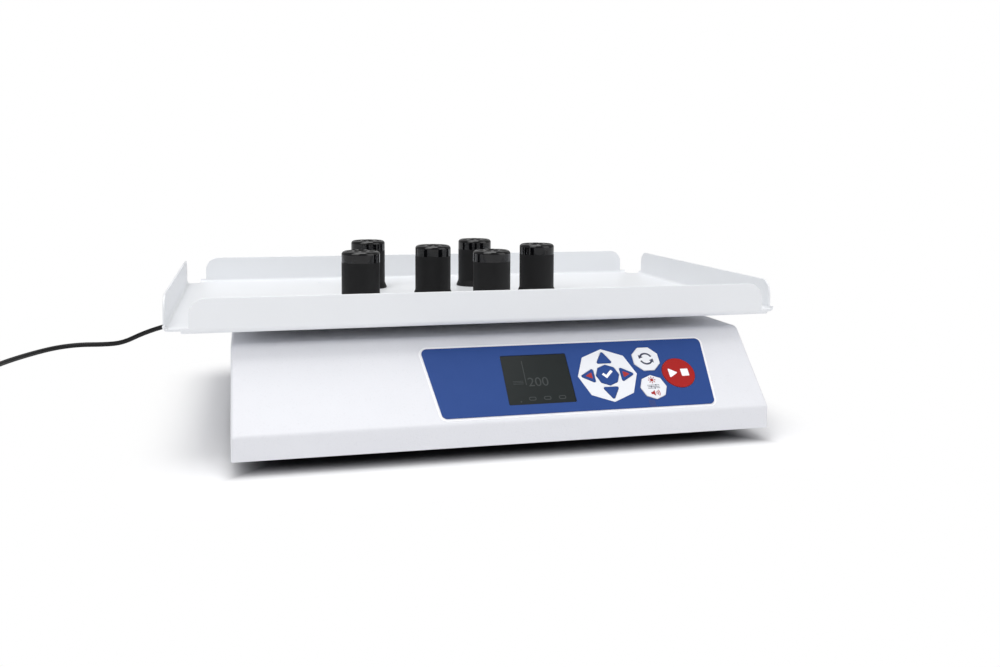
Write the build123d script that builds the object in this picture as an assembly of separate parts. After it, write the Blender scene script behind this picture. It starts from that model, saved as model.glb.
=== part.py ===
from build123d import *
from math import cos, radians, sin, tan
import os

# A bench-top orbital shaker, in millimetres, +Z up, standing on the table at z = 0.
# The origin is under the middle of the machine's outline, with the tray one orbit radius left of the drive.

# Orbit, tray and where the drive axis stands
orbit_radius = 5.0
tray_length = 360.0
tray_depth = 240.0
front_reach = 150.0
rear_reach = 115.0
drive_x = orbit_radius
drive_y = (front_reach - tray_depth / 2) / 2
drive = Vector(drive_x, drive_y, 0)

# Housing, bent from one sheet and open below
housing_width = 300.0
sheet = 1.5
lip_height = 12.5
slope_rise = 40.5
slope_angle = 45.0
fold_radius = 3.0
brow_radius = 6.0
back_radius = 4.0
side_radius = 1.8
return_width = 29.0

# Base pan and feet
foot_height = 4.0
foot_radius = 11.0
foot_tuck = 1.5
foot_inset = 22.0
pan_floor = 2.0
pan_depth = 4.0
pan_side_inset = 20.0
pan_front_inset = 12.0
pan_rear_inset = 16.0
pan_rim = 12.0
pan_corner = 10.0
rim_corner_step = 4.0
foot_socket = 0.6
foot_screw_depth = 0.7
foot_boss_radius = 6.5
foot_boss_height = 5.0

# Clearances
screw_gap = 0.1
press_gap = 0.02
running_gap = 0.02
shoulder_gap = 0.1
key_gap = 0.25
belt_gap = 0.3
seat_gap = 0.05

# Screws: shank radius, head radius and head height
small_shank, small_head, small_head_height = 1.5, 2.8, 1.8
big_shank, big_head, big_head_height = 2.0, 3.8, 2.4

# Chassis plate on four pillars, with the drive hung in it
pillar_height = 24.0
pillar_flats = 8.0
pillar_hole_depth = 7.0
chassis_thickness = 3.0
chassis_corner = 10.0
chassis_margin = 9.0
chassis_rear = 104.0
pillar_front_x = 90.0
pillar_rear_x = 60.0
pillar_front = 56.0
pillar_rear = 80.0
idler_circle = 80.0
idler_angles = (90.0, 210.0, 330.0)
motor_circle = 80.0
motor_angle = 30.0

# Ball bearing, one size for the whole drive
bearing_outer = 11.0
bearing_bore = 4.0
bearing_width = 7.0
bearing_wall = 2.1
bearing_edge = 0.4
shield_recess = 0.5

# Cartridge that holds two bearings in the chassis
cartridge_body = 14.0
cartridge_flange = 20.0
cartridge_flange_height = 3.0
cartridge_depth = 18.0
cartridge_waist = 8.5
cartridge_bolt_circle = 17.0
cartridge_bolt_count = 3

# Crank: shaft, column, disc and pin
column_radius = 6.0
column_height = 18.0
disc_radius = 12.5
disc_height = 3.0
pin_height = 8.4

# Belt drive
driven_radius = 38.0
drive_ratio = 4.0
pulley_width = 10.0
pulley_lift = 2.0
belt_thickness = 1.4
belt_width = 7.4
driven_flange = 2.5
driven_flange_width = 1.0
driven_rim = 5.0
driven_hub = 12.0
driven_web = 3.0
driven_hole_count = 6
driven_hole_radius = 6.5
driven_hole_circle = 22.5
weight_radius = 33.0
weight_thickness = 5.0
weight_screw_circle = 9.0
weight_screw_shank = 1.2
magnet_radius = 1.5
magnet_height = 3.0

# Motor
motor_radius = 27.0
motor_height = 20.0
motor_boss = 6.0
motor_shaft_radius = 2.5
motor_bolt_circle = 16.0
motor_slot_count = 12
motor_slot_width = 3.0
motor_slot_height = 9.0
motor_slot_depth = 2.5
motor_edge = 1.5

# Platform carrier, with a boss over each crank
carrier_thickness = 4.0
carrier_clearance = 4.0
boss_radius = 15.0
boss_depth = 7.0
boss_lip = 0.8
boss_sweep_gap = 2.0
carrier_x = 92.0
carrier_front = 62.0
carrier_rear = 102.0
carrier_corner = 14.0
carrier_window_radius = 17.0
carrier_windows = ((-50.0, 35.0), (50.0, 35.0), (0.0, -42.0))
tray_screw_x = 84.0
tray_screw_front = 54.0
tray_screw_rear = 92.0

# Tray, folded from sheet with four open corners
tray_sheet = 1.2
tray_wall = 19.0
tray_bend = 3.0
tray_notch_x = 14.0
tray_notch_y = 15.0
tray_tail = 4.0
tray_wall_corner = 9.0
tray_edge_round = 0.35

# Flask posts that stand on the tray
post_radius = 12.0
post_height = 34.0
post_foot_flare = 1.3
post_foot_height = 4.0
post_cap_height = 7.2
post_wall = 3.0
cap_shoulder = 2.2
cap_spigot = 5.0
cap_pocket_count = 9
cap_pocket_inner = 5.6
cap_pocket_outer = 10.0
cap_pocket_depth = 1.5
cap_pocket_span = 28.0
cap_well_depth = 0.6
cap_well_radius = 4.4
magnet_disc_radius = 8.0
magnet_disc_height = 2.6
post_places = ((-66.5, -32.0), (-13.5, 5.0), (16.5, -41.0), (60.0, 5.0), (-51.5, 57.0), (27.0, 56.0))

# Control panel on the slope: x from the drive axis, s up the slope from the fold
overlay_thickness = 0.7
overlay_corner = 3.2
overlay_corners = ((-40.7, 3.6), (117.2, 3.6), (121.5, 48.7), (-48.0, 48.7))
window_left, window_right = -3.2, 35.6
window_low, window_high = 9.5, 42.0
window_corner = 0.8
window_recess = 0.35
pad_centre = (57.6, 25.8)
pad_radius = 17.8
pad_rise = 0.1
enter_radius = 6.9
arrow_base, arrow_tip, arrow_half = 8.0, 16.3, 4.9
arrow_corner = 0.8
cycles_centre, cycles_radius = (83.6, 35.5), 8.6
settings_centre, settings_radius = (83.1, 16.3), 8.0
start_centre, start_radius = (101.0, 25.0), 9.9
key_top = 1.0
key_cap = 0.55
key_travel = 0.35
key_edge = 0.15
key_stem_radius = 2.0
key_stem_gap = 0.3
key_barb_radius = 2.8
key_barb_height = 0.6
key_barb_gap = 0.3
key_reach = 4.2
board_drop = 6.4
board_thickness = 1.6
board_left, board_right = -16.0, 118.0
board_low, board_high = 3.5, 48.5
board_hole_inset = 4.5
board_spacer_radius = 3.0
board_nut_flats = 5.5
board_nut_height = 2.2
switch_body = 6.0
switch_height = 1.0
lcd_margin = 2.6
lcd_recess = 0.4

# Control board on the base pan
logic_length, logic_depth = 96.0, 40.0
logic_side_gap = 39.0
logic_front_gap = 27.0
logic_lift = 5.0
logic_hole_inset = 4.0

# Power inlet and switch in the rear wall
inlet_inset, inlet_z = 35.0, 27.0
jack_barrel = 5.6
jack_flange = 7.6
jack_flange_height = 1.6
jack_depth = 14.0
jack_bore = 2.85
jack_bore_depth = 9.6
jack_pin = 0.95
jack_nut_flats = 14.0
jack_nut_height = 2.4
rocker_spacing = 38.0
rocker_length, rocker_height = 17.0, 11.0
rocker_gap = 0.3
rocker_angle = 9.0
rocker_proud = 2.0
rocker_pivot_depth = 2.0
pivot_radius, pivot_bite, pivot_gap = 1.0, 0.8, 0.05
bezel_margin = 2.0
bezel_height = 1.6
switch_depth = 10.0
switch_skin = 1.2

# Plug, cord, coil and adapter
cord_radius = 2.0
plug_sleeve = 2.75
plug_sleeve_length = 9.2
plug_grip_radius = 5.2
plug_grip_length = 22.0
plug_gap = 0.2
relief_length = 16.0
relief_tip = 2.7
coil_centre = (-355.0, 148.0)
coil_inner, coil_outer, coil_height = 16.0, 28.0, 12.0
coil_round = 2.0
adapter_x, adapter_rear = -325.0, 76.0
adapter_width, adapter_length, adapter_height = 34.0, 56.0, 30.0
adapter_round = 4.0
adapter_relief_length = 14.0
adapter_relief_root = 4.4
adapter_pin_radius, adapter_pin_length, adapter_pin_gap = 2.0, 19.0, 9.5

# Speed sensor board
sensor_length, sensor_width, sensor_chip = 16.0, 12.0, 4.0

# Heights and places worked out from the sizes above
pan_bottom = foot_height
cover_bottom = pan_bottom + pan_depth
fold_z = cover_bottom + lip_height
cover_top = fold_z + slope_rise
front_y = drive_y - front_reach
rear_y = drive_y + rear_reach
brow_y = front_y + slope_rise / tan(radians(slope_angle))
pan_top = pan_bottom + pan_floor
chassis_bottom = pan_top + pillar_height
chassis_top = chassis_bottom + chassis_thickness
cartridge_top = chassis_top + cartridge_flange_height
cartridge_bottom = chassis_bottom - cartridge_depth
column_bottom = cartridge_top + shoulder_gap
disc_bottom = column_bottom + column_height
disc_top = disc_bottom + disc_height
pulley_bottom = column_bottom + pulley_lift
pulley_top = pulley_bottom + pulley_width
carrier_bottom = cover_top + carrier_clearance
carrier_top = carrier_bottom + carrier_thickness
boss_bottom = carrier_bottom - boss_depth
bearing_seat = boss_bottom + boss_lip
tray_bottom = carrier_top
tray_floor = tray_bottom + tray_sheet
tray_top = tray_bottom + tray_wall
crank_radius = bearing_bore
motor_pulley_radius = driven_radius / drive_ratio
platform = drive - Vector(orbit_radius, 0, 0)


def polar(centre, radius, angle):
    """The point at a radius and an angle round a centre."""
    return centre + Vector(radius * cos(radians(angle)), radius * sin(radians(angle)), 0)


idlers = [polar(drive, idler_circle, angle) for angle in idler_angles]
crank_axes = [drive] + idlers
motor_axis = polar(drive, motor_circle, motor_angle)
pillars = [drive + Vector(side * x, y, 0) for side in (-1, 1)
           for x, y in ((pillar_front_x, -pillar_front), (pillar_rear_x, pillar_rear))]
inlet_x = drive_x - housing_width / 2 + inlet_inset
rocker_x = inlet_x + rocker_spacing
pan_left = drive_x - housing_width / 2 + pan_side_inset
pan_right = drive_x + housing_width / 2 - pan_side_inset
pan_front = front_y + pan_front_inset
pan_rear = rear_y - pan_rear_inset
feet = [Vector(x, y, 0) for x in (pan_left + foot_inset, pan_right - foot_inset)
        for y in (pan_front + foot_inset, pan_rear - foot_inset)]
logic_x = pan_left + logic_side_gap + logic_length / 2
logic_y = pan_front + logic_front_gap + logic_depth / 2
slope_turn = radians(slope_angle)
slope_normal = (0, -sin(slope_turn), cos(slope_turn))
slope = Plane(origin=(drive_x, front_y, fold_z), x_dir=(1, 0, 0), z_dir=slope_normal)
rear_wall = Plane(origin=(0, rear_y, 0), x_dir=(-1, 0, 0), z_dir=(0, 1, 0))
standing = (Align.CENTER, Align.CENTER, Align.MIN)


def rod(place, radius, bottom, top):
    """A plain upright cylinder between two heights."""
    return Pos(place.X, place.Y, bottom) * Cylinder(radius, top - bottom, align=standing)


def plate(left, right, front, back, bottom, top, corner):
    """A flat plate with rounded corners."""
    outline = RectangleRounded(right - left, back - front, corner)
    return Pos((left + right) / 2, (front + back) / 2, bottom) * extrude(outline, top - bottom)


def turned(place, points):
    """A piece turned about the upright axis through a place, from its half section."""
    section = make_face(Polyline(*points, close=True))
    return Pos(place.X, place.Y, 0) * revolve(Plane.XZ * section, Axis.Z)


def upright_screw(place, seat, length, up=1, sizes=None):
    """A cap screw whose head sits on the seat; its shank runs along -Z, or along +Z when up is -1."""
    shank, head, height = sizes or (small_shank, small_head, small_head_height)
    driver = extrude(RegularPolygon(head * 0.5, 6), -height * 0.6)
    body = Pos(0, 0, height / 2) * Cylinder(head, height)
    body = fillet(body.edges().group_by(Axis.Z)[-1], height * 0.2)
    body -= Pos(0, 0, height) * driver
    body += Pos(0, 0, -length / 2) * Cylinder(shank, length)
    turn = Rot(0, 0, 0) if up == 1 else Rot(180, 0, 0)
    return Pos(place.X, place.Y, seat) * turn * body


def sunk_screw(place, face, length, shank, head):
    """A countersunk screw flush with the face above its shank."""
    cone = head - shank
    points = [(0, face), (head, face), (shank, face - cone), (shank, face - length), (0, face - length)]
    socket = Pos(place.X, place.Y, face) * extrude(RegularPolygon(shank * 0.7, 6), -cone)
    return turned(place, points) - socket


def sunk_hole(place, face, depth, shank, head, gap):
    """The countersunk hole that a sunk screw sits in."""
    wide, thin = head + gap, shank + gap
    return turned(place, [(0, face + 1), (wide, face + 1), (wide, face), (thin, face - wide + thin),
                          (thin, face - depth), (0, face - depth)])


def group(solids):
    """Several separate solids kept together in one node."""
    return Compound(children=[solid for shape in solids for solid in shape.solids()])


# Housing and base
def housing_outline(inset):
    """The housing's side outline, moved in from the outer skin."""
    corners = [(front_y, cover_bottom), (front_y, fold_z), (brow_y, cover_top), (rear_y, cover_top),
               (rear_y, cover_bottom)]
    face = make_face(Polyline(*corners, close=True))
    if inset:
        face = offset(face, -inset)
    for corner, radius in zip(corners[1:4], (fold_radius, brow_radius, back_radius)):
        nearest = face.vertices().sort_by_distance((corner[0], corner[1], 0))[0]
        face = fillet([nearest], radius - inset)
    return face


def housing_block(inset):
    """The housing's outline drawn out over its width."""
    half = housing_width / 2 - inset
    return Pos(drive_x, 0, 0) * extrude(Plane.YZ * housing_outline(inset), half, both=True)


def board_studs():
    """The four places where the front board hangs from the slope."""
    return [(x, s) for x in (board_left + board_hole_inset, board_right - board_hole_inset)
            for s in (board_low + board_hole_inset, board_high - board_hole_inset)]


def cover_screw_places():
    """Eight screws round the pan's rim, clear of the corners."""
    rim = pan_rim / 2
    across = (pan_left + rim, pan_right - rim)
    along = (pan_front + rim, pan_rear - rim)
    thirds_x = [pan_left + (pan_right - pan_left) * share for share in (0.25, 0.75)]
    thirds_y = [pan_front + (pan_rear - pan_front) * share for share in (0.25, 0.75)]
    places = [(x, y) for x in thirds_x for y in along] + [(x, y) for x in across for y in thirds_y]
    return [Vector(x, y, 0) for x, y in places]


def housing_cover():
    block = housing_block(0)
    flanks = [face for face in block.faces().filter_by(Axis.X)]
    outline = [edge for face in flanks for edge in face.edges() if edge.center().Z > cover_bottom + 0.5]
    block = fillet(outline, side_radius)
    cover = block - housing_block(sheet)
    left = drive_x - housing_width / 2 + return_width
    right = drive_x + housing_width / 2 - return_width
    front = front_y + return_width + pan_front_inset - pan_side_inset
    cover -= plate(left, right, front, rear_y - return_width, cover_bottom - 1, cover_bottom + sheet + 1,
                   pan_corner - rim_corner_step)
    for axis in crank_axes:
        cover -= rod(axis, boss_radius + orbit_radius + boss_sweep_gap, cover_top - sheet - 1, cover_top + 1)
    cover -= through_slope(window_outline(seat_gap))
    for outline, centre in key_layout().values():
        hole = Pos(*centre) * Circle(key_stem_radius + key_stem_gap)
        cover -= through_slope(hole)
    cover -= rear_wall * Pos(-inlet_x, inlet_z, 0) * Cylinder(jack_barrel + screw_gap, 4 * sheet)
    around = 2 * (rocker_gap + switch_skin + seat_gap)
    opening = Box(rocker_length + around, rocker_height + around, 4 * sheet)
    cover -= rear_wall * Pos(-rocker_x, inlet_z, 0) * opening
    for place in cover_screw_places():
        cover -= rod(place, small_shank + screw_gap, cover_bottom - 1, cover_bottom + sheet + 1)
    for x, s in board_studs():
        length = board_drop + board_thickness + board_nut_height + 0.6 - sheet
        cover += slope * Pos(x, s, -sheet - length / 2) * Cylinder(small_shank, length)
    return cover


def base_pan():
    pan = plate(pan_left, pan_right, pan_front, pan_rear, pan_bottom, cover_bottom, pan_corner)
    low_edge = pan.edges().group_by(Axis.Z)[0]
    pan = fillet(low_edge, 1.2)
    pan -= plate(pan_left + pan_rim, pan_right - pan_rim, pan_front + pan_rim, pan_rear - pan_rim,
                 pan_top, cover_bottom + 1, pan_corner - rim_corner_step)
    for foot in feet:
        pan += rod(foot, foot_boss_radius, pan_top - 0.5, pan_top + foot_boss_height)
        pan -= rod(foot, foot_radius - foot_tuck + seat_gap, pan_bottom - 1, pan_bottom + foot_socket)
        pan -= rod(foot, big_shank + screw_gap, pan_bottom - 1, pan_top + foot_boss_height + 1)
    for place in cover_screw_places():
        pan -= rod(place, small_shank + screw_gap, pan_bottom - 1, cover_bottom + 1)
        pan -= rod(place, small_head + screw_gap, pan_bottom - 1, pan_bottom + small_head_height)
    for pillar in pillars:
        pan -= rod(pillar, small_shank + screw_gap, pan_bottom - 1, pan_top + 1)
    for place in logic_places():
        pan -= rod(place, small_shank + screw_gap, pan_bottom - 1, pan_top + 1)
    return pan


def foot_pad(foot):
    """A turned rubber foot with a recess for its screw and a spigot into the pan."""
    spigot = foot_radius - foot_tuck
    recess = big_head + 0.6
    seat = big_head_height + foot_screw_depth
    spigot_top = foot_height + foot_socket - seat_gap
    return turned(foot, [(recess, 0), (foot_radius - 1.2, 0), (foot_radius, 1.2),
                         (foot_radius - 0.4, foot_height), (spigot, foot_height), (spigot, spigot_top),
                         (big_shank + screw_gap, spigot_top), (big_shank + screw_gap, seat), (recess, seat)])


def foot_screw(foot):
    seat = big_head_height + foot_screw_depth
    length = pan_top + foot_boss_height - seat
    return upright_screw(foot, seat, length, -1, (big_shank, big_head, big_head_height))


def cover_screw(place):
    seat = pan_bottom + small_head_height
    return upright_screw(place, seat, cover_bottom + 2 * sheet - seat, -1)


# Chassis and drive
def chassis_plate():
    chassis = plate(drive_x - pillar_front_x - chassis_margin, drive_x + pillar_front_x + chassis_margin,
                    drive_y - pillar_front - chassis_margin, drive_y + chassis_rear,
                    chassis_bottom, chassis_top, chassis_corner)
    for axis in crank_axes:
        chassis -= rod(axis, cartridge_body + screw_gap, chassis_bottom - 1, chassis_top + 1)
        for place in cartridge_bolts(axis):
            chassis -= rod(place, small_shank + screw_gap, chassis_bottom - 1, chassis_top + 1)
    chassis -= rod(motor_axis, motor_boss + screw_gap, chassis_bottom - 1, chassis_top + 1)
    for place in motor_bolts() + pillars:
        chassis -= rod(place, small_shank + screw_gap, chassis_bottom - 1, chassis_top + 1)
    return chassis


def pillar(place):
    hexagon = RegularPolygon(pillar_flats / 2, 6, major_radius=False)
    body = Pos(place.X, place.Y, pan_top) * extrude(hexagon, pillar_height)
    body -= rod(place, small_shank + screw_gap, pan_top - 1, pan_top + pillar_hole_depth)
    return body - rod(place, small_shank + screw_gap, chassis_bottom - pillar_hole_depth, chassis_bottom + 1)


def pillar_screws(place):
    reach = pillar_hole_depth - 1
    return [upright_screw(place, pan_bottom, pan_floor + reach, -1),
            upright_screw(place, chassis_top, chassis_thickness + reach)]


def cartridge_bolts(axis):
    step = 360 / cartridge_bolt_count
    return [polar(axis, cartridge_bolt_circle, step * i + 30) for i in range(cartridge_bolt_count)]


def cartridge(axis):
    """A flanged cup with a bearing pocket at each end and a waist between them."""
    pocket = bearing_outer + press_gap
    low, high = cartridge_bottom + bearing_width, cartridge_top - bearing_width
    body = turned(axis, [(pocket, cartridge_bottom), (cartridge_body - 1, cartridge_bottom),
                         (cartridge_body, cartridge_bottom + 1), (cartridge_body, chassis_top),
                         (cartridge_flange, chassis_top), (cartridge_flange, cartridge_top - 0.6),
                         (cartridge_flange - 0.6, cartridge_top), (pocket, cartridge_top), (pocket, high),
                         (cartridge_waist, high), (cartridge_waist, low), (pocket, low)])
    for place in cartridge_bolts(axis):
        body -= rod(place, small_shank + screw_gap, chassis_top - 1, cartridge_top + 1)
    return body


def bearing(axis, bottom):
    """A shielded ball bearing: two rings with a recessed shield between them on both faces."""
    bore = bearing_bore + running_gap
    inner, outer = bearing_bore + bearing_wall, bearing_outer - bearing_wall
    top, edge, dip = bottom + bearing_width, bearing_edge, shield_recess
    return turned(axis, [(bore + edge, bottom), (inner, bottom), (inner, bottom + dip), (outer, bottom + dip),
                         (outer, bottom), (bearing_outer - edge, bottom), (bearing_outer, bottom + edge),
                         (bearing_outer, top - edge), (bearing_outer - edge, top), (outer, top),
                         (outer, top - dip), (inner, top - dip), (inner, top), (bore + edge, top),
                         (bore, top - edge), (bore, bottom + edge)])


def crank(axis):
    """A turned crank: shaft, column and disc on its own axis, and the pin one orbit radius off it."""
    body = turned(axis, [(0, cartridge_bottom + 0.5), (crank_radius - 0.5, cartridge_bottom + 0.5),
                         (crank_radius, cartridge_bottom + 1), (crank_radius, column_bottom),
                         (column_radius, column_bottom), (column_radius, disc_bottom),
                         (disc_radius, disc_bottom), (disc_radius, disc_top - 0.5),
                         (disc_radius - 0.5, disc_top), (0, disc_top)])
    pin = axis - Vector(orbit_radius, 0, 0)
    top = disc_top + pin_height
    return body + turned(pin, [(0, disc_top - 1), (crank_radius, disc_top - 1), (crank_radius, top - 0.5),
                               (crank_radius - 0.5, top), (0, top)])


def pulley_section(radius, flange, web_inner, bore):
    """Half section of a flanged flat-belt pulley, open between rim and hub when it has a web."""
    low, high, width = pulley_bottom, pulley_top, driven_flange_width
    points = [(bore, low)]
    if web_inner:
        middle = (low + high) / 2
        dish_low, dish_high = middle - driven_web / 2, middle + driven_web / 2
        points += [(driven_hub, low), (driven_hub, dish_low), (web_inner, dish_low), (web_inner, low)]
    points += [(radius + flange - 0.5, low), (radius + flange, low + width / 2), (radius, low + width),
               (radius, high - width), (radius + flange, high - width / 2), (radius + flange - 0.5, high)]
    if web_inner:
        points += [(web_inner, high), (web_inner, dish_high), (driven_hub, dish_high), (driven_hub, high)]
    return points + [(bore, high)]


def driven_pulley():
    body = turned(drive, pulley_section(driven_radius, driven_flange, driven_radius - driven_rim,
                                        column_radius + press_gap))
    for i in range(driven_hole_count):
        hole = polar(drive, driven_hole_circle, 360 * (i + 0.5) / driven_hole_count)
        body -= rod(hole, driven_hole_radius, pulley_bottom - 1, pulley_top + 1)
    body -= rod(magnet_place(), magnet_radius + press_gap, pulley_bottom - 1, pulley_bottom + magnet_height)
    for place in weight_screw_places():
        body -= rod(place, weight_screw_shank + press_gap, pulley_bottom + 2, pulley_top + 1)
    return body


def magnet_place():
    return polar(drive, driven_radius - driven_rim / 2, 225)


def speed_magnet():
    return rod(magnet_place(), magnet_radius, pulley_bottom, pulley_bottom + magnet_height)


def weight_screw_places():
    return [polar(drive, weight_screw_circle, angle) for angle in (90, 270)]


def counterweight():
    """A half disc opposite the crank pin, with a ring that seats on the pulley's hub."""
    half = Circle(weight_radius) & Pos(weight_radius / 2, 0) * Rectangle(weight_radius, 2 * weight_radius)
    half = fillet(half.vertices(), 3)
    outline = half + Circle(driven_hub)
    body = Pos(drive_x, drive_y, pulley_top) * extrude(outline, weight_thickness)
    body -= rod(drive, column_radius + press_gap, pulley_top - 1, pulley_top + weight_thickness + 1)
    for place in weight_screw_places():
        body -= sunk_hole(place, pulley_top + weight_thickness, weight_thickness + 1, weight_screw_shank,
                          2 * weight_screw_shank, press_gap)
    return body


def weight_screw(place):
    return sunk_screw(place, pulley_top + weight_thickness, weight_thickness + 4, weight_screw_shank,
                      2 * weight_screw_shank)


def belt_loop(grow):
    """The taut belt line round both pulleys, grown outwards."""
    big = Pos(drive.X, drive.Y) * Circle(driven_radius + grow)
    small = Pos(motor_axis.X, motor_axis.Y) * Circle(motor_pulley_radius + grow)
    return make_hull((big + small).edges())


def drive_belt():
    band = belt_loop(belt_gap + belt_thickness) - belt_loop(belt_gap)
    return Pos(0, 0, (pulley_bottom + pulley_top - belt_width) / 2) * extrude(band, belt_width)


def motor_bolts():
    return [polar(motor_axis, motor_bolt_circle, angle) for angle in (0, 120, 240)]


def motor_can():
    """A short can under the chassis with cooling slots and a boss that centres it in the plate."""
    low = chassis_bottom - motor_height
    bore = motor_shaft_radius + running_gap
    inner, boss_top = motor_radius - motor_edge, chassis_top + 0.5
    body = turned(motor_axis, [(0, low), (inner, low), (motor_radius, low + motor_edge),
                               (motor_radius, chassis_bottom - motor_edge), (inner, chassis_bottom),
                               (motor_boss, chassis_bottom), (motor_boss, boss_top), (bore, boss_top),
                               (bore, low + 2), (0, low + 2)])
    for i in range(motor_slot_count):
        angle = 360 * (i + 0.5) / motor_slot_count
        place = polar(motor_axis, motor_radius, angle)
        slot = Rot(0, 0, angle) * Box(2 * motor_slot_depth, motor_slot_width, motor_slot_height)
        body -= Pos(place.X, place.Y, low + motor_height / 2) * slot
    for place in motor_bolts():
        body -= rod(place, small_shank + screw_gap, chassis_bottom - 6, chassis_bottom + 1)
    return body


def chassis_screws():
    """The screws that hold the cartridges and the motor to the chassis."""
    holding = [(place, cartridge_top, cartridge_flange_height + chassis_thickness)
               for axis in crank_axes for place in cartridge_bolts(axis)]
    holding += [(place, chassis_top, chassis_thickness + 5) for place in motor_bolts()]
    return [upright_screw(*values) for values in holding]


def motor_shaft():
    low = chassis_bottom - motor_height + 2.3
    return turned(motor_axis, [(0, low), (motor_shaft_radius, low), (motor_shaft_radius, pulley_top + 0.7),
                               (motor_shaft_radius - 0.4, pulley_top + 1.1), (0, pulley_top + 1.1)])


def motor_pulley():
    bore = motor_shaft_radius + press_gap
    return turned(motor_axis, pulley_section(motor_pulley_radius, driven_flange, 0, bore))


def speed_sensor():
    """A small board on the chassis with its sensor just under the magnet's track."""
    place = magnet_place()
    turn = Pos(place.X, place.Y, chassis_top) * Rot(0, 0, 45)
    board = Box(sensor_length, sensor_width, board_thickness, align=standing)
    chip = Box(sensor_chip, sensor_chip, sensor_chip / 2, align=standing)
    return turn * (board + Pos(0, 0, board_thickness) * chip)


# Platform
def crank_pins():
    return [axis - Vector(orbit_radius, 0, 0) for axis in crank_axes]


def tray_screw_places():
    return [platform + Vector(x, y, 0) for x in (-tray_screw_x, tray_screw_x)
            for y in (-tray_screw_front, tray_screw_rear)]


def platform_carrier():
    body = plate(platform.X - carrier_x, platform.X + carrier_x, platform.Y - carrier_front,
                 platform.Y + carrier_rear, carrier_bottom, carrier_top, carrier_corner)
    for x, y in carrier_windows:
        body -= rod(platform + Vector(x, y, 0), carrier_window_radius, carrier_bottom - 1, carrier_top + 1)
    for pin in crank_pins():
        body += rod(pin, boss_radius, boss_bottom, carrier_top)
        body -= rod(pin, bearing_outer + press_gap, boss_bottom - 1, bearing_seat + bearing_width + 0.2)
    for place in tray_screw_places():
        body -= rod(place, big_shank + screw_gap, carrier_bottom - 1, carrier_top + 1)
    return body


def tray_wall_plate(width):
    """A wall above its bend, with rounded upper corners and softened free edges."""
    face = Rectangle(width, tray_wall - tray_bend, align=(Align.CENTER, Align.MIN))
    face = fillet(face.vertices().group_by(Axis.Y)[-1], tray_wall_corner)
    wall = extrude(face, tray_sheet)
    outlines = [edge for side in wall.faces().filter_by(Axis.Z) for edge in side.edges()]
    rims = [edge for edge in outlines if edge.center().Y > tray_edge_round]
    return fillet(rims, tray_edge_round)


def shaker_tray():
    """A sheet tray with four folded walls, rounded wall ends and relieved open corners."""
    bend_top = tray_bottom + tray_bend

    def box(length, depth, bottom, bend):
        body = Pos(platform.X, platform.Y, bottom) * Box(length, depth, tray_wall, align=standing)
        return fillet(body.edges().group_by(Axis.Z)[0], bend)

    tray = box(tray_length, tray_depth, tray_bottom, tray_bend)
    tray -= box(tray_length - 2 * tray_sheet, tray_depth - 2 * tray_sheet, tray_floor, tray_bend - tray_sheet)
    above = Box(2 * tray_length, 2 * tray_depth, 2 * tray_wall, align=standing)
    tray -= Pos(platform.X, platform.Y, bend_top) * above
    relief = Box(2 * (tray_notch_x - tray_tail), 2 * (tray_notch_y - tray_tail), tray_wall)
    for x in (-tray_length / 2, tray_length / 2):
        for y in (-tray_depth / 2, tray_depth / 2):
            tray -= Pos(platform.X + x, platform.Y + y, tray_bottom) * relief
    long_wall = tray_wall_plate(tray_length - 2 * tray_notch_x)
    short_wall = tray_wall_plate(tray_depth - 2 * tray_notch_y)
    for turn, wall, reach in ((0, long_wall, tray_depth), (90, short_wall, tray_length),
                              (180, long_wall, tray_depth), (270, short_wall, tray_length)):
        stand = Pos(platform.X, platform.Y, bend_top) * Rot(0, 0, turn) * Pos(0, tray_sheet - reach / 2, 0)
        tray += stand * Rot(90, 0, 0) * wall
    for place in tray_screw_places():
        tray -= sunk_hole(place, tray_floor, tray_sheet + 1, big_shank, big_shank + tray_sheet, screw_gap)
    return tray


def tray_screw(place):
    return sunk_screw(place, tray_floor, tray_sheet + carrier_thickness, big_shank, big_shank + tray_sheet)


def post_centres():
    return [platform + Vector(x, y, 0) for x, y in post_places]


def post_foot(place):
    """A flared foot ring with a pocket below for its magnet and a spigot into the sleeve."""
    base, top = tray_floor, tray_floor + post_foot_height
    wide, pocket = post_radius + post_foot_flare, magnet_disc_radius + seat_gap
    spigot = post_radius - post_wall - seat_gap
    roof = base + magnet_disc_height + seat_gap
    return turned(place, [(pocket, base), (wide, base), (wide, base + 0.8), (post_radius + 0.5, top - 1.2),
                          (post_radius, top), (spigot, top), (spigot, top + 4), (0, top + 4), (0, roof),
                          (pocket, roof)])


def post_magnet(place):
    return rod(place, magnet_disc_radius, tray_floor, tray_floor + magnet_disc_height)


def post_sleeve(place):
    """The grip sleeve, a thick plain tube."""
    base, top = tray_floor + post_foot_height, tray_floor + post_height - post_cap_height
    inner = post_radius - post_wall
    return turned(place, [(inner, base), (post_radius, base), (post_radius, top), (inner, top)])


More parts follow.
